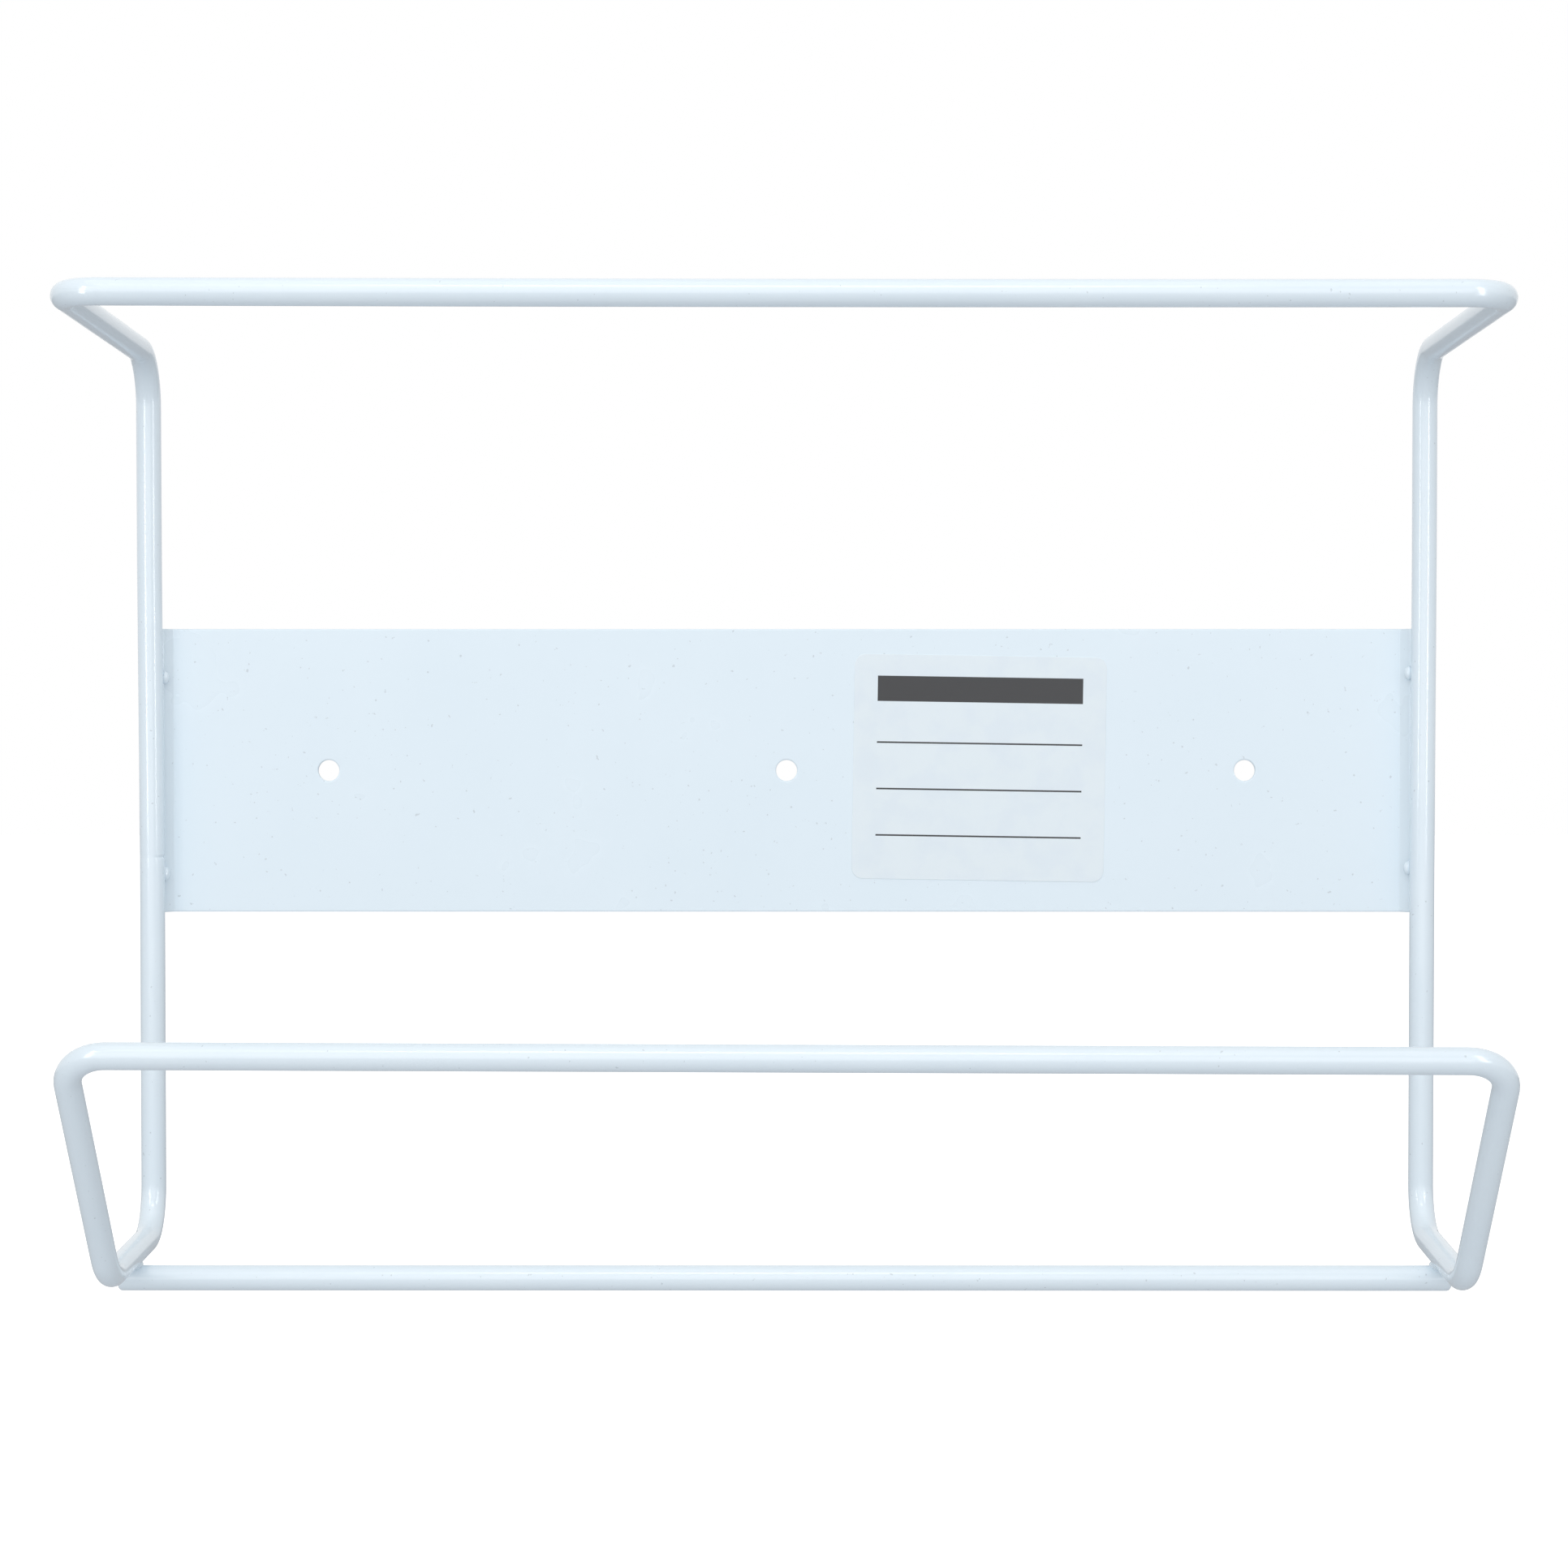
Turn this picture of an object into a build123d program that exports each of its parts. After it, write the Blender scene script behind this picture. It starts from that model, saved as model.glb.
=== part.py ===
from build123d import *
import os

# Wall rack for two boxes of disposable gloves, set on end side by side.
# The frame stands on the middle screw hole, on the wall: X runs to the right,
# Y into the wall and Z up, so the open front faces -Y. All sizes are in millimetres.

# Bent wire frame: one closed loop of round steel wire under a powder coat
wire_diameter = 5.0
clear_width = 253.0  # between the uprights: two glove boxes and a little play
top_corner_height = 84.4  # corner of upright and top arm, above the screw line
top_arm_reach = 88.0  # from the uprights forward to the top front bar
top_arm_rise = 2.3  # the top arms climb a little towards the front
lean_height = 36.0  # above here the uprights lean outwards a little
top_spread = 0.5  # by how much the lean sets the top corners further out, on each side
bottom_corner_drop = 93.8  # corner of upright and bottom arm, below the screw line
bottom_arm_reach = 48.0  # from the uprights forward to the foot of the risers
bottom_arm_fall = 2.5  # the bottom arms fall a little towards the front
lower_bar_reach = 88.6  # from the uprights forward to the lower front bar
lower_bar_drop = 49.7  # the lower front bar, below the screw line
top_rear_bend = 11.0  # bend radii, on the middle of the wire
top_front_bend = 8.0
lean_bend = 60.0
bottom_rear_bend = 10.5
riser_foot_bend = 12.5
lower_front_bend = 7.6

# Cross bar: a straight length of the same wire under the bottom arms
bar_reach = 22.0  # from the uprights forward to the bar
bar_end_round = 0.8
weld_set_down = 0.1  # how far the crossing wires are pressed together

# Back plate: flat sheet steel whose two ends are joggled forward to the uprights
sheet_thickness = 1.2
plate_height = 57.9
joggle_inset = 0.9  # the flat ends this far inside the uprights' inner sides
joggle_run = 2.0
lip_height = 1.9  # front face of the lips, in front of the flat's front face
lip_inset = 0.6  # the lips end this far inside the frame's outer side
joggle_bend = 0.9  # radius on the middle of the sheet
screw_hole_diameter = 4.3
screw_hole_pitch = 93.7
screw_hole_count = 3
hole_edge_round = 0.25

# Label: a clear film sticker on the plate's front, a little crooked
label_width = 51.6
label_height = 46.0
label_thickness = 0.1
label_corner = 2.3
label_offset = 39.4  # its middle, to the right of the middle screw hole
label_raise = 0.5
label_turn = -0.9  # degrees, clockwise from the front

# Weld beads: four tacks between uprights and lips, and one bead at each bar crossing
tack_height = 20.0  # above and below the screw line
tack_half_length = 1.6
tack_radius = 1.2
tack_inset = 0.6  # middle of a tack, from the inner side of the upright towards its middle
tack_stand = 0.3  # middle of a tack, in front of the lip
bead_radius = 2.7
bead_half_height = 1.7
bead_lean = 0.7  # middle of a bead, from the arm's middle towards the rack's middle

wire_radius = wire_diameter / 2
half_spacing = clear_width / 2 + wire_radius
flat_front = -sheet_thickness
lip_front = flat_front - lip_height
upright_y = lip_front - wire_radius


def bend_corner(side, reach, height, spread=0):
    """Corner of the wire's centre line, side being -1 at the left and 1 at the right."""
    return (side * (half_spacing + spread), upright_y - reach, height)


def arm_height(reach):
    """Height of the bottom arm's centre line at a distance in front of the uprights."""
    return -bottom_corner_drop - bottom_arm_fall * reach / bottom_arm_reach


def half_loop(side):
    """Corners and bend radii of one side of the frame, from the top front bar down."""
    return [
        (bend_corner(side, top_arm_reach, top_corner_height + top_arm_rise, top_spread), top_front_bend),
        (bend_corner(side, 0, top_corner_height, top_spread), top_rear_bend),
        (bend_corner(side, 0, lean_height), lean_bend),
        (bend_corner(side, 0, -bottom_corner_drop), bottom_rear_bend),
        (bend_corner(side, bottom_arm_reach, arm_height(bottom_arm_reach)), riser_foot_bend),
        (bend_corner(side, lower_bar_reach, -lower_bar_drop), lower_front_bend),
    ]


# The wire frame: a circle swept round the closed centre line
loop = half_loop(-1) + half_loop(1)[::-1]
centre_line = FilletPolyline([corner for corner, _ in loop], radius=[bend for _, bend in loop], close=True)
section = Plane(origin=centre_line @ 0, z_dir=centre_line % 0) * Circle(wire_radius)
wire_frame = sweep(section, path=centre_line)

# The cross bar: pressed a little into the underside of both bottom arms
bar_length = 2 * (half_spacing + wire_radius)
bar_drop = wire_diameter - weld_set_down
bar_centre = (0, upright_y - bar_reach, arm_height(bar_reach) - bar_drop)
bar = Pos(*bar_centre) * Rot(0, 90, 0) * Cylinder(wire_radius, bar_length)
bar = fillet(bar.edges().filter_by(GeomType.CIRCLE), bar_end_round)
cross_bar = bar - wire_frame

# The back plate: the sheet's middle line in plan, given its thickness and height
plate_half_width = half_spacing + wire_radius - lip_inset
flat_half_width = clear_width / 2 - joggle_inset
flat_middle = -sheet_thickness / 2
lip_middle = lip_front + sheet_thickness / 2
plan = FilletPolyline(
    (-plate_half_width, lip_middle),
    (-flat_half_width - joggle_run, lip_middle),
    (-flat_half_width, flat_middle),
    (flat_half_width, flat_middle),
    (flat_half_width + joggle_run, lip_middle),
    (plate_half_width, lip_middle),
    radius=joggle_bend,
)
sheet = trace(plan, sheet_thickness)
plate = Pos(0, 0, -plate_height / 2) * extrude(sheet, plate_height)
for index in range(screw_hole_count):
    hole_x = (index - (screw_hole_count - 1) / 2) * screw_hole_pitch
    plate -= Pos(hole_x, flat_middle, 0) * Rot(90, 0, 0) * Cylinder(screw_hole_diameter / 2, 2 * sheet_thickness)
hole_rims = plate.edges().filter_by(GeomType.CIRCLE).filter_by(
    lambda edge: abs(edge.arc_center.Y - flat_front) < sheet_thickness / 4
    and abs(edge.radius - screw_hole_diameter / 2) < hole_edge_round
)
back_plate = fillet(hole_rims, hole_edge_round)

# The label: a thin sheet with round corners on the plate's front face
label_plane = Plane(origin=(label_offset, flat_front, label_raise), x_dir=(1, 0, 0), z_dir=(0, -1, 0))
outline = Rot(0, 0, label_turn) * RectangleRounded(label_width, label_height, label_corner)
label = label_plane * extrude(outline, label_thickness)


nodes = {
    "wire_frame": wire_frame,
    "cross_bar": cross_bar,
    "back_plate": back_plate,
    "label": label,
}

# The weld beads are made at the right and mirrored to the left
beads = {}

# A tack fills the crotch that upright and joggled lip leave in plan, and a sphere rounds its ends
tack_middle = Pos(clear_width / 2 + tack_inset, lip_front - tack_stand)
crotch = tack_middle * Circle(tack_radius) - Pos(half_spacing, upright_y) * Circle(wire_radius) - sheet
for level, level_name in ((1, "upper"), (-1, "lower")):
    tack_level = Pos(0, 0, level * tack_height)
    tack = tack_level * extrude(crotch, tack_half_length, both=True)
    beads[f"tack_weld_{level_name}"] = tack & tack_middle * tack_level * Sphere(tack_half_length)

# A flattened drop of weld metal lies round the spot where the bar is pressed into the arm
half_ellipse = Ellipse(bead_radius, bead_half_height)
half_ellipse &= Pos(bead_radius, 0) * Rectangle(2 * bead_radius, 4 * bead_half_height)
bead_middle = Pos(half_spacing - bead_lean, bar_centre[1], bar_centre[2] + bar_drop / 2)
drop = bead_middle * revolve(Plane.XZ * half_ellipse, Axis.Z)
beads["bar_weld"] = drop - wire_frame - cross_bar

for name, solid in beads.items():
    nodes[f"{name}_right"] = solid
    nodes[f"{name}_left"] = mirror(solid, about=Plane.YZ)

os.makedirs("parts", exist_ok=True)
for name, solid in nodes.items():
    export_step(solid, f"parts/{name}.step")
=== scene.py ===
import math

import bpy
import numpy as np
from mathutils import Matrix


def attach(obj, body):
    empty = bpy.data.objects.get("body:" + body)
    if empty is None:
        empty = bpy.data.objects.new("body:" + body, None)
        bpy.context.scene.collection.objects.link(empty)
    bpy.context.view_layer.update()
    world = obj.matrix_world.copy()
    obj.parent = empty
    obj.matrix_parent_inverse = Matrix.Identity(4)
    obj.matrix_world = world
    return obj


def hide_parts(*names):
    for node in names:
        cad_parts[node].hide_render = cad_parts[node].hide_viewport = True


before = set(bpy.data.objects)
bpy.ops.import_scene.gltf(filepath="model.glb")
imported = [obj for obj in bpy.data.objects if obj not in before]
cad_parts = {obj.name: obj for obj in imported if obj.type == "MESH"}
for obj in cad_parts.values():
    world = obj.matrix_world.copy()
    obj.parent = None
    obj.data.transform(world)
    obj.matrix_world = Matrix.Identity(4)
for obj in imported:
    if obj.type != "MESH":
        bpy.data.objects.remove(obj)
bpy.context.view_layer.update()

# Camera. The photograph was taken from straight in front, about 70 cm away and a little
# above the screw holes, looking down by just over a degree.
PHOTO_SIDE = 1932
FOCAL_LENGTH = 4273.6  # in pixels of the photograph
SENSOR_WIDTH = 36.0
CAMERA_PLACE = (0.00093, -0.7108, 0.0121)
CAMERA_TILT = 88.8  # degrees up from straight down
CAMERA_TURN = 0.117

lens = bpy.data.cameras.new("camera")
lens.sensor_width = SENSOR_WIDTH
lens.lens = SENSOR_WIDTH * FOCAL_LENGTH / PHOTO_SIDE
camera = bpy.data.objects.new("camera", lens)
camera.location = CAMERA_PLACE
camera.rotation_euler = (math.radians(CAMERA_TILT), 0.0, math.radians(CAMERA_TURN))
bpy.context.collection.objects.link(camera)
bpy.context.scene.camera = camera

# Wire frame. One length of 5 mm round steel wire, bent into a closed loop and butt-welded on
# the left upright. The joint was ground and the loop powder-coated in a glossy cool white,
# which rounds every bend.
MM = 0.001
WIRE_RADIUS = 2.5
RING_STEP = 1.0  # along the wire
WIRE_SIDES = 48
UPRIGHT_Y = -5.6
HALF_SPACING = 129.0

# Corners of the centre line from the top front bar down: x, reach to the front, z and bend
# radius. The third and fourth make the upper part of an upright lean outwards a little.
LEFT_BENDS = np.array([
    (-129.5, 88.0, 86.68, 7.2),
    (-129.5, 0.0, 84.2, 11.0),
    (-129.42, 0.0, 42.0, 60.0),
    (-129.05, 0.0, -20.0, 60.0),
    (-129.0, 0.0, -94.0, 10.2),
    (-128.8, 48.7, -95.7, 12.5),
    (-129.0, 88.6, -49.3, 7.6),
])
RIGHT_BENDS = np.array([
    (128.8, 88.0, 86.3, 8.0),
    (129.5, 0.0, 84.5, 11.0),
    (129.48, 0.0, 42.0, 60.0),
    (129.25, 0.0, -20.0, 60.0),
    (129.2, 0.0, -93.5, 10.2),
    (129.2, 47.3, -96.6, 12.5),
    (129.2, 88.6, -50.2, 7.6),
])
TOP_BAR_SAG = 0.15
TOP_BAR_ABOVE = 80.0  # the top bar is all wire above this height
TOP_BAR_BEYOND = 87.0  # and further than this in front of the uprights

SEAM_HEIGHT = -17.5  # the butt weld on the left upright
SEAM_DEPTH = 0.22  # of its groove, on the side towards the middle of the rack
SEAM_HALF_WIDTH = 0.3
GROOVE_FROM = 0.25  # the groove begins where this share of a spoke points to the right
GROOVE_FADE = 0.7  # and is full where this much more does
GROUND_DEPTH = 0.02  # taken off round the joint by grinding
GROUND_HALF_WIDTH = 1.1
SEAM_SPAN = 1.9  # close rings lie this far to each side of the joint
SEAM_RINGS = 39
LOOP_MIDDLE = np.array((0.0, -40.0, 0.0))  # each ring's first point faces away from here


def unit(vectors):
    """Each vector divided by its own length."""
    return vectors / np.maximum(np.linalg.norm(vectors, axis=-1, keepdims=True), 1e-12)


def bent_path(corners, radii, closed, spacing=0.05):
    """Points along straight runs joined by arcs that touch both runs.

    An arc starts radius * tan(turn / 2) before its corner. Its point at angle a is
    centre - radius * inward * cos(a) + radius * direction of the first run * sin(a).
    """
    into = unit(corners - np.roll(corners, 1, axis=0))
    away = np.roll(into, -1, axis=0)
    along_into = (into * away).sum(axis=1, keepdims=True)
    turn = np.arccos(np.clip(along_into, -1, 1))
    inward = unit(away - into * along_into)
    radius = radii[:, None]
    start = corners - into * radius * np.tan(turn / 2)
    centre = start + inward * radius
    stretches = []
    for i in range(len(corners)):
        count = max(2, int(radii[i] * turn[i, 0] / spacing))
        angle = np.linspace(0, turn[i, 0], count)[:, None]
        arc = centre[i] - radii[i] * (inward[i] * np.cos(angle) - into[i] * np.sin(angle))
        stretches.append(arc if radii[i] > 0 else corners[i:i + 1])
        if closed or i + 1 < len(corners):
            target = start[(i + 1) % len(corners)]
            here = stretches[-1][-1]
            count = max(2, int(np.linalg.norm(target - here) / spacing))
            share = np.linspace(0, 1, count, endpoint=False)[1:, None]
            stretches.append(here + (target - here) * share)
    return np.concatenate(stretches)


def along(path, distances, reach=0.15):
    """Points of a closed path at distances measured along it, and the unit vectors from
    reach before each to reach after it."""
    lap = np.vstack([path, path[:1]])
    run = np.concatenate([[0], np.cumsum(np.linalg.norm(np.diff(lap, axis=0), axis=1))])

    def at(where):
        return np.stack([np.interp(where % run[-1], run, lap[:, k]) for k in range(3)], axis=-1)

    return at(distances), unit(at(distances + reach) - at(distances - reach))


def spokes(points, directions, sides, middle):
    """Unit vector (i, j) = cos(a_j) * normal_i + sin(a_j) * binormal_i, round each point.

    The normal is the part of (point - middle) that is square to the path's direction, so
    it turns smoothly and meets itself on a closed loop.
    """
    across = points - middle
    normal = unit(across - directions * (across * directions).sum(axis=1, keepdims=True))
    binormal = np.cross(directions, normal)
    angle = np.linspace(0, 2 * np.pi, sides, endpoint=False)[None, :, None]
    return np.cos(angle) * normal[:, None] + np.sin(angle) * binormal[:, None]


def ring_object(name, surface, closed):
    """Mesh object from rings of points in millimetres, with one quad per cell.

    On a closed surface the last ring meets the first. Otherwise a fan round an added
    middle point closes each end.
    """
    rows, columns = surface.shape[:2]
    index = np.arange(rows * columns).reshape(rows, columns)
    low = index if closed else index[:-1]
    high = np.roll(index, -1, axis=0) if closed else index[1:]
    cells = np.stack([low, np.roll(low, -1, axis=1), np.roll(high, -1, axis=1), high], axis=-1)
    faces = cells.reshape(-1, 4).tolist()
    points = surface.reshape(-1, 3)
    if not closed:
        points = np.vstack([points, surface[0].mean(axis=0), surface[-1].mean(axis=0)])
        first, last = len(points) - 2, len(points) - 1
        ring, next_ring = index[0], np.roll(index[0], -1)
        faces += np.stack([np.full(columns, first), next_ring, ring], axis=-1).tolist()
        ring, next_ring = index[-1], np.roll(index[-1], -1)
        faces += np.stack([np.full(columns, last), ring, next_ring], axis=-1).tolist()
    return smooth_object(name, points, faces)


def smooth_object(name, points, faces):
    """Object with its place in its mesh, from points in millimetres, shaded smooth."""
    mesh = bpy.data.meshes.new(name)
    mesh.from_pydata((points * MM).tolist(), [], faces)
    mesh.polygons.foreach_set("use_smooth", np.ones(len(faces), dtype=bool))
    mesh.update()
    piece = bpy.data.objects.new(name, mesh)
    bpy.context.collection.objects.link(piece)
    return piece


bends = np.vstack([LEFT_BENDS, RIGHT_BENDS[::-1]])
corners = np.column_stack([bends[:, 0], UPRIGHT_Y - bends[:, 1], bends[:, 2]])
loop = bent_path(corners, bends[:, 3], closed=True)
on_top_bar = (loop[:, 2] > TOP_BAR_ABOVE) & (loop[:, 1] < UPRIGHT_Y - TOP_BAR_BEYOND)
loop[:, 2] -= np.where(on_top_bar, TOP_BAR_SAG * (1 - (loop[:, 0] / HALF_SPACING) ** 2), 0)

steps = np.linalg.norm(np.roll(loop, -1, axis=0) - loop, axis=1)
distance_to = np.cumsum(steps) - steps
on_left_upright = (loop[:, 0] < 1 - HALF_SPACING) & (loop[:, 1] > UPRIGHT_Y - 0.1)
off_seam = np.where(on_left_upright, np.abs(loop[:, 2] - SEAM_HEIGHT), np.inf)
seam_at = distance_to[np.argmin(off_seam)]
rings = np.arange(0, steps.sum(), RING_STEP)
rings = rings[np.abs(rings - seam_at) > SEAM_SPAN + 0.1]
seam_rings = seam_at + np.linspace(-SEAM_SPAN, SEAM_SPAN, SEAM_RINGS)
rings = np.sort(np.concatenate([rings, seam_rings]))

ring_points, ring_directions = along(loop, rings)
outward = spokes(ring_points, ring_directions, WIRE_SIDES, LOOP_MIDDLE)
inner_side = np.clip((outward[..., 0] - GROOVE_FROM) / GROOVE_FADE, 0, 1)
groove = SEAM_DEPTH * np.exp(-((rings - seam_at) / SEAM_HALF_WIDTH) ** 2)
ground = GROUND_DEPTH * np.exp(-((rings - seam_at) / GROUND_HALF_WIDTH) ** 2)
wire_radius = WIRE_RADIUS - groove[:, None] * inner_side - ground[:, None]
wire_surface = ring_points[:, None] + outward * wire_radius[..., None]
wire_frame = ring_object("wire_frame_coated", wire_surface, closed=True)


def add_node(tree, kind, inputs=(), **settings):
    """A shader node with its settings, its sockets set to values or linked to outputs."""
    node = tree.nodes.new("ShaderNode" + kind)
    for key, value in settings.items():
        setattr(node, key, value)
    for key, value in dict(inputs).items():
        if isinstance(value, bpy.types.NodeSocket):
            tree.links.new(value, node.inputs[key])
        else:
            node.inputs[key].default_value = value
    return node


def ramp(tree, value, low, high, to_low=0.0, to_high=1.0):
    """Value carried in a straight line from low..high to to_low..to_high, and held there."""
    return add_node(tree, "MapRange", {
        "Value": value, "From Min": low, "From Max": high, "To Min": to_low, "To Max": to_high,
    }).outputs["Result"]


def mixed_colour(tree, share, first, second):
    """First colour where share is 0, second where it is 1."""
    return add_node(
        tree, "Mix", {0: share, 6: first, 7: second}, data_type="RGBA"
    ).outputs[2]


FRAME_WHITE = (0.775, 0.868, 0.935)
FRAME_WHITE_THIN = (0.76, 0.856, 0.928)
SPECK_GREY = (0.34, 0.38, 0.42)
CLOUD_SCALE = 38.0  # noise scales, per metre
SPECK_SCALE = 1150.0
GRAIN_SCALE = 620.0
CLOUD_EDGES = (0.35, 0.65)  # noise values between which one tint turns into the other
SPECK_EDGES = (0.752, 0.785)  # and between which a speck begins and is full
SPECK_SHARE = 0.35
PEEL_HEIGHT = 0.0001


def coated_metal(name, colour, thin_colour, gloss=0.17, peel=0.06):
    """Powder coat: soft clouds between two close tints where the coat lies thicker or
    thinner, fine orange peel as bump, gloss that varies with the clouds, stray specks."""
    material = bpy.data.materials.new(name)
    material.use_nodes = True
    tree = material.node_tree
    shader = tree.nodes["Principled BSDF"]
    place = add_node(tree, "TexCoord").outputs["Object"]
    clouds = add_node(tree, "TexNoise", {"Vector": place, "Scale": CLOUD_SCALE, "Detail": 3.0})
    speck = add_node(tree, "TexNoise", {"Vector": place, "Scale": SPECK_SCALE, "Detail": 1.0})
    grain = add_node(tree, "TexNoise", {"Vector": place, "Scale": GRAIN_SCALE, "Detail": 2.0})
    cloudy = ramp(tree, clouds.outputs["Fac"], *CLOUD_EDGES)
    tint = mixed_colour(tree, cloudy, (*colour, 1), (*thin_colour, 1))
    specks = ramp(tree, speck.outputs["Fac"], *SPECK_EDGES, 0.0, SPECK_SHARE)
    dusted = mixed_colour(tree, specks, tint, (*SPECK_GREY, 1))
    tree.links.new(dusted, shader.inputs["Base Color"])
    roughness = ramp(tree, clouds.outputs["Fac"], 0.3, 0.7, gloss * 0.85, gloss * 1.2)
    tree.links.new(roughness, shader.inputs["Roughness"])
    bump = add_node(tree, "Bump", {
        "Height": grain.outputs["Fac"], "Strength": peel, "Distance": PEEL_HEIGHT})
    tree.links.new(bump.outputs["Normal"], shader.inputs["Normal"])
    return material


wire_frame.data.materials.append(coated_metal("frame_powder_coat", FRAME_WHITE, FRAME_WHITE_THIN))
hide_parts("wire_frame")
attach(wire_frame, "root")

# Cross bar. A straight length of the same wire under both bottom arms, cut off square and
# welded on before coating, so its cut ends are softly rounded by the coat.
BAR_HALF_LENGTH = 131.5
BAR_MIDDLE = -0.4  # the bar was welded on a little to the left
BAR_REACH = 22.0
BAR_HEIGHT = -99.84
BAR_END_ROUND = 0.8
BAR_RINGS = 90  # on the straight part of one half
CUT_RINGS = np.array([0.75, 0.45, 0.15])  # on a cut end, as shares of its flat's radius

quarter = np.linspace(0, np.pi / 2, 7)
round_end = np.column_stack([
    BAR_HALF_LENGTH - BAR_END_ROUND * (1 - np.sin(quarter)),
    WIRE_RADIUS - BAR_END_ROUND * (1 - np.cos(quarter)),
])
flat_end = np.column_stack([
    np.full(CUT_RINGS.size, BAR_HALF_LENGTH),
    (WIRE_RADIUS - BAR_END_ROUND) * CUT_RINGS,
])
straight = np.column_stack([
    np.linspace(0, round_end[0, 0], BAR_RINGS, endpoint=False),
    np.full(BAR_RINGS, WIRE_RADIUS),
])
half_bar = np.vstack([straight, round_end, flat_end])
profile = np.vstack([half_bar[:0:-1] * (-1, 1), half_bar])


def turned(profile, sides, centre):
    """Surface of revolution about X: (x, r) turned to (x, r * cos a, r * sin a)."""
    angle = np.linspace(0, 2 * np.pi, sides, endpoint=False)
    ring = np.stack([np.zeros_like(angle), np.cos(angle), np.sin(angle)], axis=-1)
    return centre + profile[:, None, :1] * (1, 0, 0) + profile[:, None, 1:] * ring[None]


bar_centre = np.array((BAR_MIDDLE, UPRIGHT_Y - BAR_REACH, BAR_HEIGHT))
cross_bar = ring_object("cross_bar_coated", turned(profile, WIRE_SIDES, bar_centre), closed=False)
cross_bar.data.materials.append(coated_metal("bar_powder_coat", FRAME_WHITE, FRAME_WHITE_THIN))
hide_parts("cross_bar")
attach(cross_bar, "root")

# Back plate. Sheared strip of 1.2 mm sheet steel with three punched screw holes; both ends
# are joggled forward to lie behind the uprights, and the coat rounds its edges.
SHEET = 1.2
PLATE_HALF_HEIGHT = 28.95
PLATE_HALF_WIDTH = 130.9
FLAT_HALF_WIDTH = 125.6
JOGGLE_RUN = 2.0
JOGGLE_RISE = 1.9
JOGGLE_BEND = 0.9
HOLE_RADIUS = 2.15
HOLE_PITCH = 93.7
EDGE_ROUND = 0.25
FLAT_HAIR = 0.15  # flat left between a patch and the rounded edge
ROWS = 24  # cells over the plate's height
HOLE_RINGS = 15
CROWDING = 1.6  # how much closer the rings lie near a hole
BEND_MARGIN = 0.8  # close columns start this far before a joggle


def pierced_square(x_middle, half_side, hole_radius, cells):
    """Square patch round a hole: point (i, j) lies between the hole's rim and the square's
    border on the line that joins them, at share (i / n) ** CROWDING of it."""
    side = np.linspace(-half_side, half_side, cells + 1)[:-1]
    ones = np.full(cells, half_side)
    border = np.vstack([
        np.column_stack([side, -ones]), np.column_stack([ones, side]),
        np.column_stack([-side, ones]), np.column_stack([-ones, -side]),
    ])
    border = np.vstack([border, border[:1]])
    rim = hole_radius * unit(border)
    share = (np.linspace(0, 1, HOLE_RINGS) ** CROWDING)[:, None, None]
    return rim + (border - rim) * share + (x_middle, 0)


def plain_strip(columns, half_height, rows):
    """Rectangular patch with the given columns and evenly spaced rows."""
    heights = np.linspace(-half_height, half_height, rows + 1)
    return np.stack(np.meshgrid(columns, heights, indexing="ij"), axis=-1)


def rim_strip(border, outward):
    """Strip round a border: a hair of flat, a quarter turn over the front edge, the sheared
    wall, and the same to the back. Columns are (across, up, level in front of the middle)."""
    quarter = np.linspace(0, np.pi / 2, 5)
    bulge = FLAT_HAIR + EDGE_ROUND * np.sin(quarter)
    level = SHEET / 2 - EDGE_ROUND * (1 - np.cos(quarter))
    bulge = np.concatenate([[0], bulge, bulge[::-1], [0]])[:, None]
    level = np.concatenate([[SHEET / 2], level, -level[::-1], [-SHEET / 2]])
    flat = border[:, None] + outward[:, None] * bulge
    levels = np.broadcast_to(level[None, :, None], (*flat.shape[:2], 1))
    return np.concatenate([flat, levels], axis=-1)


# The patches of the front face, flat: three squares round the holes, and strips between them
inset = EDGE_ROUND + FLAT_HAIR
half_height, end = PLATE_HALF_HEIGHT - inset, PLATE_HALF_WIDTH - inset
bend_start, bend_end = FLAT_HALF_WIDTH - BEND_MARGIN, FLAT_HALF_WIDTH + JOGGLE_RUN + BEND_MARGIN
end_columns = np.concatenate([
    np.linspace(HOLE_PITCH + half_height, bend_start, 4)[:-1],
    np.linspace(bend_start, bend_end, 25)[:-1],
    np.linspace(bend_end, end, 6),
])
gap_columns = np.linspace(half_height, HOLE_PITCH - half_height, 16)
hole_columns = np.linspace(-half_height, half_height, ROWS + 1)
face_patches = [
    pierced_square(x, half_height, HOLE_RADIUS + inset, ROWS) for x in (-HOLE_PITCH, 0, HOLE_PITCH)
]
face_patches += [
    plain_strip(columns, half_height, ROWS)
    for columns in (-end_columns[::-1], -gap_columns[::-1], gap_columns, end_columns)
]

# The border of all patches together, and the way outwards at each of its points
edge_columns = np.unique(np.round(np.concatenate([
    -end_columns, -gap_columns, gap_columns, end_columns,
    hole_columns - HOLE_PITCH, hole_columns, hole_columns + HOLE_PITCH,
]), 6))
edge_up = np.full(edge_columns.size, half_height)
end_across = np.full(ROWS + 1, end)
outer = np.vstack([
    np.column_stack([edge_columns, -edge_up])[:-1],
    np.column_stack([end_across, hole_columns])[:-1],
    np.column_stack([edge_columns, edge_up])[:0:-1],
    np.column_stack([-end_across, hole_columns])[:0:-1],
])
at_end = np.abs(outer[:, 0]) > end - 1e-6
at_edge = np.abs(outer[:, 1]) > half_height - 1e-6
outer_way = np.column_stack([np.sign(outer[:, 0]) * at_end, np.sign(outer[:, 1]) * at_edge])

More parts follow.
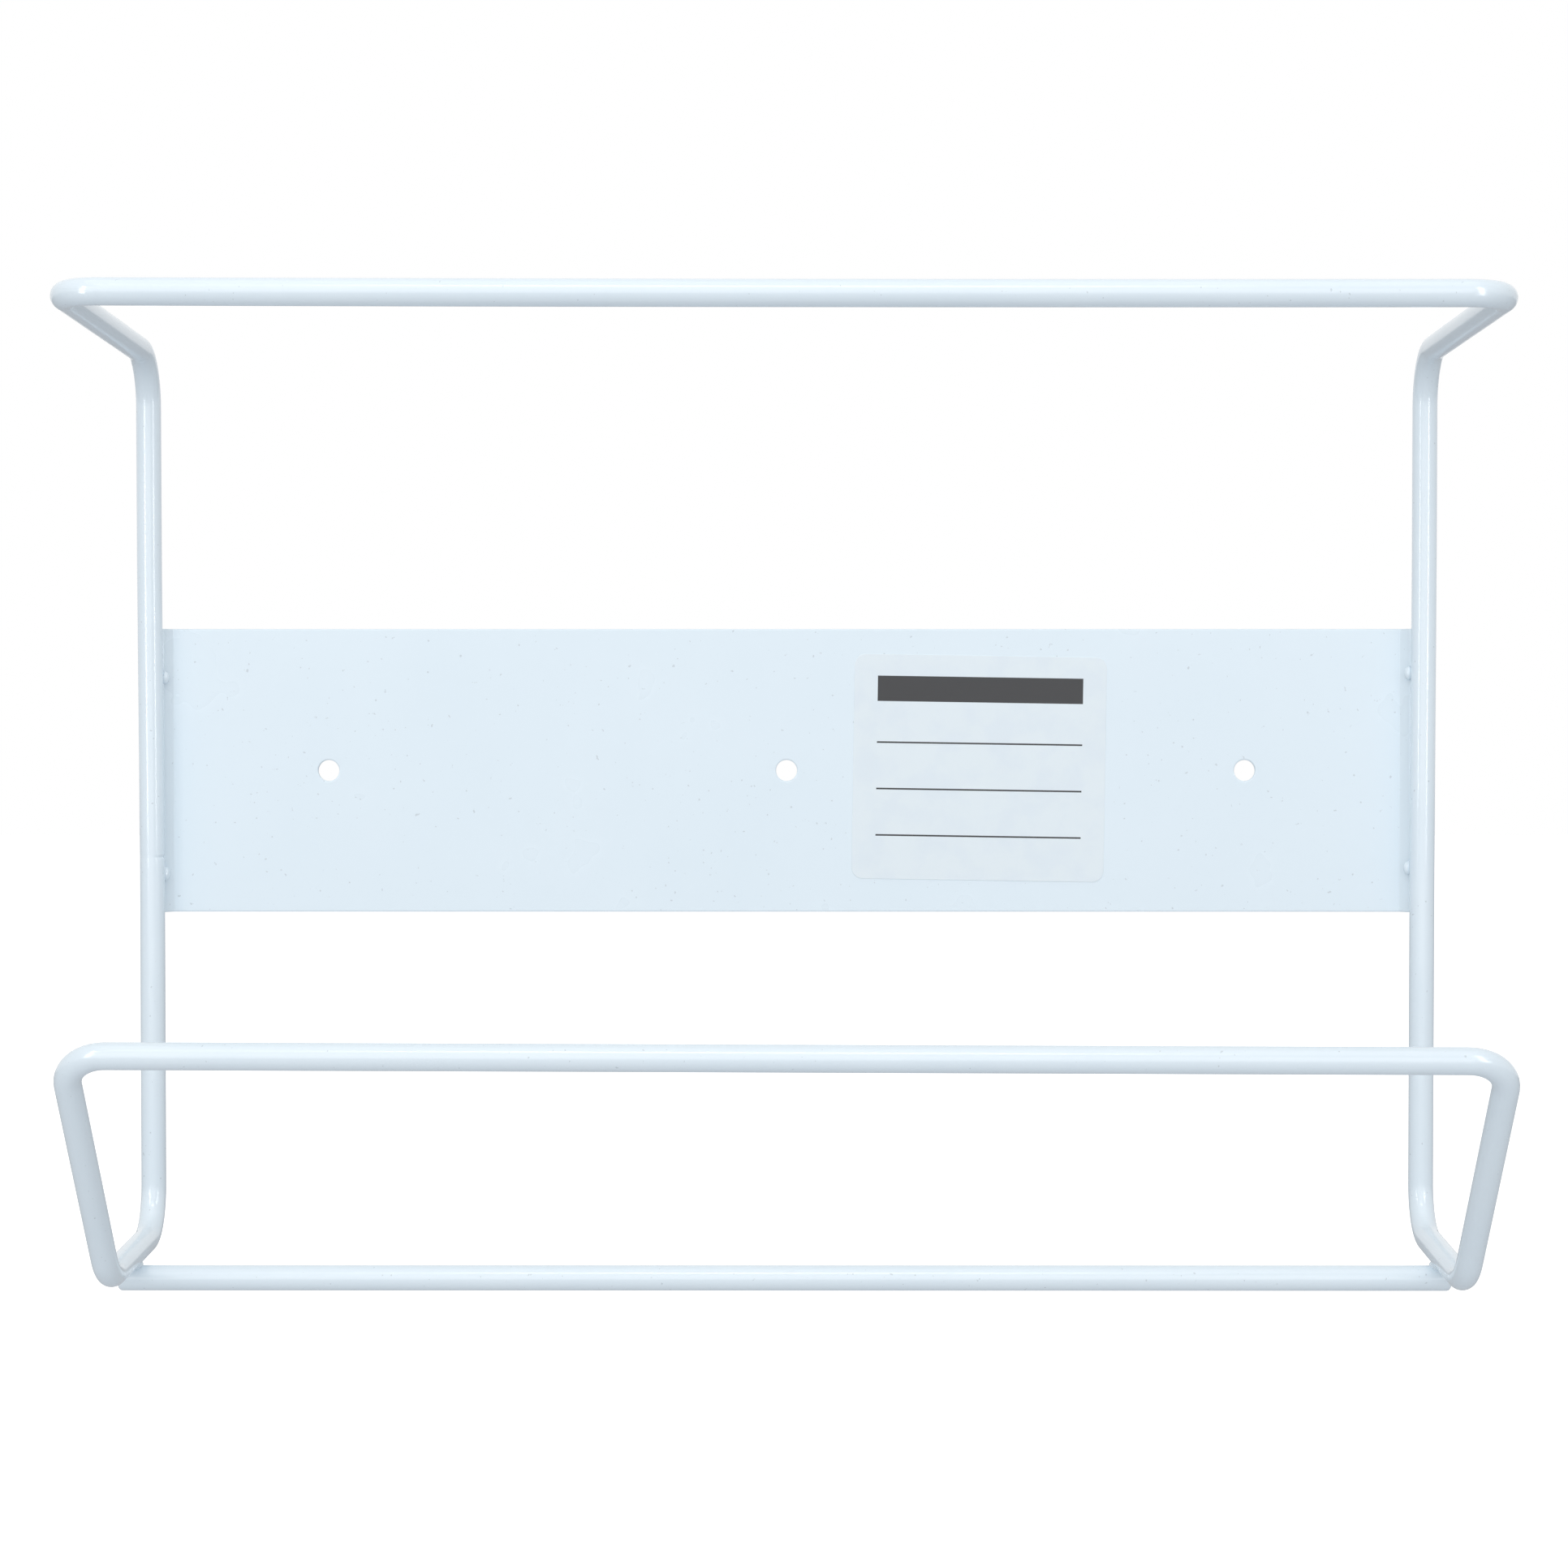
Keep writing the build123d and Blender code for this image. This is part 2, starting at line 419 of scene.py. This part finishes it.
# Rims round the border and the holes, and each patch at the front and at the back
solid_patches = [rim_strip(outer, outer_way)]
for patch in face_patches[:3]:
    ring = patch[0, :-1]
    solid_patches.append(rim_strip(ring, unit(ring.mean(axis=0) - ring))[::-1])
solid_patches = [np.concatenate([patch, patch[:1]]) for patch in solid_patches]
for patch in face_patches:
    level = np.full((*patch.shape[:2], 1), SHEET / 2)
    solid_patches.append(np.concatenate([patch, level], axis=-1).transpose(1, 0, 2))
    solid_patches.append(np.concatenate([patch, -level], axis=-1))
plate_points, plate_faces, used = [], [], 0
for patch in solid_patches:
    index = used + np.arange(patch.shape[0] * patch.shape[1]).reshape(patch.shape[:2])
    cells = np.stack([index[:-1, :-1], index[:-1, 1:], index[1:, 1:], index[1:, :-1]], axis=-1)
    plate_faces.append(cells.reshape(-1, 4))
    plate_points.append(patch.reshape(-1, 3))
    used += index.size
plate_points, plate_faces = np.vstack(plate_points), np.vstack(plate_faces)
_, keep, merged = np.unique(
    np.round(plate_points, 4) + 0.0, axis=0, return_index=True, return_inverse=True)

# The flat strip is laid along the joggled line: a point moves to that line's depth at its
# own x, and stands off it by its level along the line's normal
half_plan = bent_path(
    np.array([
        (0.0, 0.0, 0.0),
        (FLAT_HALF_WIDTH, 0.0, 0.0),
        (FLAT_HALF_WIDTH + JOGGLE_RUN, -JOGGLE_RISE, 0.0),
        (PLATE_HALF_WIDTH, -JOGGLE_RISE, 0.0),
    ]),
    np.array((0.0, JOGGLE_BEND, JOGGLE_BEND, 0.0)),
    closed=False,
)
plan_slope = np.gradient(half_plan[:, 1], half_plan[:, 0])
across, up, level = plate_points[keep].T
depth = np.interp(np.abs(across), half_plan[:, 0], half_plan[:, 1])
slope = np.interp(np.abs(across), half_plan[:, 0], plan_slope) * np.sign(across)
forward = unit(np.column_stack([slope, -np.ones_like(slope)]))
plate_points = np.column_stack([
    across + level * forward[:, 0], depth - SHEET / 2 + level * forward[:, 1], up])
back_plate = smooth_object("back_plate_coated", plate_points, merged.ravel()[plate_faces].tolist())

PLATE_WHITE = (0.75, 0.85, 0.92)
PLATE_WHITE_THIN = (0.743, 0.845, 0.916)
PLATE_GLOSS = 0.3
back_plate.data.materials.append(
    coated_metal("plate_powder_coat", PLATE_WHITE, PLATE_WHITE_THIN, gloss=PLATE_GLOSS))
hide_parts("back_plate")
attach(back_plate, "root")

# Label. A thin satin film sticker with round corners, stuck a little crooked on the plate's
# front. It is a plain write-on label, printed with one dark band and three ruled lines, and
# small air pockets under the film show through.
LABEL_WIDTH = 51.6
LABEL_HEIGHT = 46.0
LABEL_THICKNESS = 0.1
LABEL_CORNER = 2.3
LABEL_MIDDLE = (39.4, 0.5)
LABEL_TURN = -0.9  # degrees
LABEL_RINGS = np.array([0.02, 0.25, 0.5, 0.75, 0.95, 0.995])  # shares of the way to its border


def rounded_sheet(width, height, corner, thickness):
    """Closed thin sheet: rings of a rounded rectangle, from the middle of the front over a
    rounded edge to the middle of the back. The border is the path of its four corner arcs."""
    arc = np.linspace(0, np.pi / 2, 9)
    border = []
    for quarter_turns, (side_x, side_z) in enumerate(((1, 1), (-1, 1), (-1, -1), (1, -1))):
        angle = arc + quarter_turns * np.pi / 2
        border.append(np.column_stack([
            side_x * (width / 2 - corner) + corner * np.cos(angle),
            side_z * (height / 2 - corner) + corner * np.sin(angle),
        ]))
    border = np.vstack(border)
    edge = np.linspace(0, np.pi / 2, 4)
    round_edge = thickness / 2
    edge_pull = 1 - (round_edge / width * 2) * (1 - np.sin(edge))
    edge_height = thickness - round_edge * (1 - np.cos(edge))
    pull = np.concatenate([LABEL_RINGS, edge_pull, [1.0], LABEL_RINGS[::-1]])
    front = np.full(LABEL_RINGS.size, thickness)
    height_over = np.concatenate([front, edge_height, [0.0], np.zeros(LABEL_RINGS.size)])
    flat = border[None] * pull[:, None, None]
    depth = np.broadcast_to(-height_over[:, None], flat.shape[:2])
    return np.stack([flat[..., 0], depth, flat[..., 1]], axis=-1)


sheet = rounded_sheet(LABEL_WIDTH, LABEL_HEIGHT, LABEL_CORNER, LABEL_THICKNESS)
turn = math.radians(LABEL_TURN)
label_surface = np.stack([
    sheet[..., 0] * math.cos(turn) - sheet[..., 2] * math.sin(turn) + LABEL_MIDDLE[0],
    sheet[..., 1] - SHEET,
    sheet[..., 0] * math.sin(turn) + sheet[..., 2] * math.cos(turn) + LABEL_MIDDLE[1],
], axis=-1)
label = ring_object("label_film", label_surface[::-1], closed=False)

LABEL_WHITE = (0.76, 0.838, 0.885)
LABEL_PATCH = (0.738, 0.818, 0.878)
LABEL_INK = (0.018, 0.019, 0.022)
FILM_ROUGHNESS = 0.38
PATCH_SCALE = 190.0
PATCH_EDGES = (0.44, 0.62)
POCKET_SCALE = 420.0
POCKET_HEIGHT = 0.0002
PRINT_HALF_WIDTH = 21.0
PRINTED_BARS = ((16.0, 2.6), (5.0, 0.17), (-4.5, 0.17), (-14.0, 0.17))  # height, half thickness
INK_FADE = 0.04  # the soft edge of the print

label_material = bpy.data.materials.new("label_satin_film")
label_material.use_nodes = True
tree = label_material.node_tree
film = tree.nodes["Principled BSDF"]
place = add_node(tree, "TexCoord").outputs["Object"]
clouds = add_node(tree, "TexNoise", {"Vector": place, "Scale": PATCH_SCALE, "Detail": 4.0})
pocket = add_node(tree, "TexNoise", {"Vector": place, "Scale": POCKET_SCALE, "Detail": 2.0})
patches = ramp(tree, clouds.outputs["Fac"], *PATCH_EDGES)
film_tint = mixed_colour(tree, patches, (*LABEL_WHITE, 1), (*LABEL_PATCH, 1))
own_axes = add_node(tree, "Mapping", {
    "Vector": place, "Rotation": (0, -turn, 0),
    "Location": (LABEL_MIDDLE[0] * MM, 0, LABEL_MIDDLE[1] * MM),
}, vector_type="TEXTURE")
own = add_node(tree, "SeparateXYZ", {"Vector": own_axes.outputs["Vector"]})


def ink_within(tree, value, middle, half_size):
    """1 where the value lies within half_size of the middle, falling to 0 over the fade."""
    offset = add_node(tree, "Math", {0: value, 1: middle * MM}, operation="SUBTRACT").outputs[0]
    distance = add_node(tree, "Math", {0: offset}, operation="ABSOLUTE").outputs[0]
    return ramp(tree, distance, (half_size - INK_FADE) * MM, (half_size + INK_FADE) * MM, 1.0, 0.0)


ink = ink_within(tree, own.outputs["Z"], *PRINTED_BARS[0])
for middle, half_size in PRINTED_BARS[1:]:
    bar_ink = ink_within(tree, own.outputs["Z"], middle, half_size)
    ink = add_node(tree, "Math", {0: ink, 1: bar_ink}, operation="MAXIMUM").outputs[0]
within_width = ink_within(tree, own.outputs["X"], 0.0, PRINT_HALF_WIDTH)
ink = add_node(tree, "Math", {0: ink, 1: within_width}, operation="MULTIPLY").outputs[0]
tree.links.new(mixed_colour(tree, ink, film_tint, (*LABEL_INK, 1)), film.inputs["Base Color"])
film.inputs["Roughness"].default_value = FILM_ROUGHNESS
film_bump = add_node(tree, "Bump", {
    "Height": pocket.outputs["Fac"], "Strength": 0.1, "Distance": POCKET_HEIGHT})
tree.links.new(film_bump.outputs["Normal"], film.inputs["Normal"])
label.data.materials.append(label_material)
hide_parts("label")
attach(label, "root")

# Weld beads. Small lumps of weld metal under the same coat: four tacks in the crotch between
# uprights and plate ends, and one bead where the cross bar meets each bottom arm.
BEAD_WAVES = 5
BEAD_SWELL = 0.07  # most that one wave adds to the radius, as a share of it
BEAD_POLE = 0.02  # radians between a lump's poles and its first and last ring

# Each bead: middle, half sizes across, forward and up, and the seed of its waves
BEADS = {
    "tack_weld_upper_left": ((-126.75, -3.7, 19.0), (0.95, 1.0, 1.3), 3),
    "tack_weld_lower_left": ((-126.75, -3.7, -21.0), (0.9, 1.0, 1.5), 4),
    "tack_weld_upper_right": ((126.75, -3.7, 19.9), (0.9, 1.0, 1.4), 5),
    "tack_weld_lower_right": ((126.75, -3.7, -19.8), (0.95, 1.0, 1.4), 6),
    "bar_weld_left": ((-129.3, -27.7, -97.3), (2.3, 2.4, 1.2), 7),
    "bar_weld_right": ((129.2, -27.7, -97.3), (2.3, 2.4, 1.2), 8),
}


def lump(middle, half_sizes, seed):
    """Uneven ellipsoid: radius times 1 + a sum of a few seeded waves of the two angles."""
    random = np.random.default_rng(seed)
    around, down = np.meshgrid(
        np.linspace(0, 2 * np.pi, 28, endpoint=False),
        np.linspace(BEAD_POLE, np.pi - BEAD_POLE, 20),
    )
    swell = 1 + sum(
        random.uniform(-BEAD_SWELL, BEAD_SWELL) * np.cos(k * around + random.uniform(0, 6))
        * np.sin(down) ** 2 * np.cos(random.integers(1, 4) * down)
        for k in range(1, BEAD_WAVES + 1)
    )
    ball = np.stack([
        np.cos(around) * np.sin(down), np.sin(around) * np.sin(down), -np.cos(down)], axis=-1)
    return np.array(middle) + ball * np.array(half_sizes) * swell[..., None]


weld_coat = coated_metal("weld_powder_coat", FRAME_WHITE, FRAME_WHITE_THIN, gloss=0.18, peel=0.2)
for node_name, (middle, half_sizes, seed) in BEADS.items():
    bead = ring_object(node_name + "_coated", lump(middle, half_sizes, seed), closed=False)
    bead.data.materials.append(weld_coat)
    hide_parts(node_name)
    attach(bead, "root")

# Room. A pale paper floor well below the hanging rack and large soft lights above and in
# front. Narrow lights beside and above the camera draw the thin bright lines on the wires.
FLOOR_HEIGHT = -0.3
FLOOR_HALF_SIDE = 8.0
FLOOR_PAPER = (0.8, 0.8, 0.8, 1)  # as the camera sees it
FLOOR_BOUNCE = (0.66, 0.675, 0.7, 1)  # as it lights the rack
FLOOR_GLOW = 0.7  # for the camera alone, to bring the paper to white
AMBIENT = 0.6  # of the white room on matt surfaces; gloss and the camera see it at 1


def glow(name, place, aim, size, power, glints_only=False):
    """Rectangular soft light at a place, turned to a point. One for glints is seen in the
    gloss alone and adds nothing to the matt part of a surface."""
    lamp = bpy.data.lights.new(name, "AREA")
    lamp.shape = "RECTANGLE"
    lamp.size, lamp.size_y = size
    lamp.energy = power
    made = bpy.data.objects.new(name, lamp)
    direction = np.array(aim) - np.array(place)
    made.location = place
    made.rotation_euler = (
        math.atan2(math.hypot(direction[0], direction[1]), -direction[2]), 0,
        math.atan2(direction[1], direction[0]) - math.pi / 2,
    )
    made.visible_diffuse = not glints_only
    bpy.context.collection.objects.link(made)


glow("top_softbox", (0.0, -0.5, 1.5), (0, -0.05, 0), (1.6, 1.2), 4.4)
glow("front_fill", (-0.25, -2.2, 0.5), (0, 0, 0), (2.4, 1.6), 18.0)
glow("upper_fill", (-0.1, -0.75, 0.7), (0, -0.05, 0.05), (0.5, 0.3), 0.8)
glow("left_strip", (-0.33, -0.36, 0.15), (0, 0, 0.15), (0.06, 0.36), 0.65, glints_only=True)
glow("right_strip", (0.3, -0.34, 0.15), (0, 0, 0.15), (0.06, 0.36), 0.65, glints_only=True)
glow("top_strip", (0.0, -0.65, 0.74), (0, -0.05, -0.05), (0.36, 0.09), 0.8, glints_only=True)

world = bpy.data.worlds.new("studio")
bpy.context.scene.world = world
world.use_nodes = True
sky_tree = world.node_tree
sky = sky_tree.nodes["Background"]
path = add_node(sky_tree, "LightPath")
seen = add_node(sky_tree, "Math", {
    0: path.outputs["Is Camera Ray"], 1: path.outputs["Is Glossy Ray"]}, operation="MAXIMUM")
sky.inputs["Color"].default_value = (1, 1, 1, 1)
sky_strength = ramp(sky_tree, seen.outputs[0], 0.0, 1.0, AMBIENT, 1.0)
sky_tree.links.new(sky_strength, sky.inputs["Strength"])

floor_corners = [
    (side_x * FLOOR_HALF_SIDE, side_y * FLOOR_HALF_SIDE, FLOOR_HEIGHT)
    for side_x, side_y in ((-1, -1), (1, -1), (1, 1), (-1, 1))
]
floor_mesh = bpy.data.meshes.new("floor")
floor_mesh.from_pydata(floor_corners, [], [(0, 1, 2, 3)])
floor = bpy.data.objects.new("floor", floor_mesh)
bpy.context.collection.objects.link(floor)
floor_material = bpy.data.materials.new("floor_paper")
floor_material.use_nodes = True
floor_tree = floor_material.node_tree
paper = floor_tree.nodes["Principled BSDF"]
paper.inputs["Roughness"].default_value = 0.9
paper.inputs["Specular IOR Level"].default_value = 0.0
paper.inputs["Emission Color"].default_value = (1, 1, 1, 1)
seen = add_node(floor_tree, "LightPath").outputs["Is Camera Ray"]
paper_tint = mixed_colour(floor_tree, seen, FLOOR_BOUNCE, FLOOR_PAPER)
floor_tree.links.new(paper_tint, paper.inputs["Base Color"])
paper_glow = ramp(floor_tree, seen, 0.0, 1.0, 0.0, FLOOR_GLOW)
floor_tree.links.new(paper_glow, paper.inputs["Emission Strength"])
floor.data.materials.append(floor_material)

bpy.context.scene.view_settings.view_transform = "Standard"
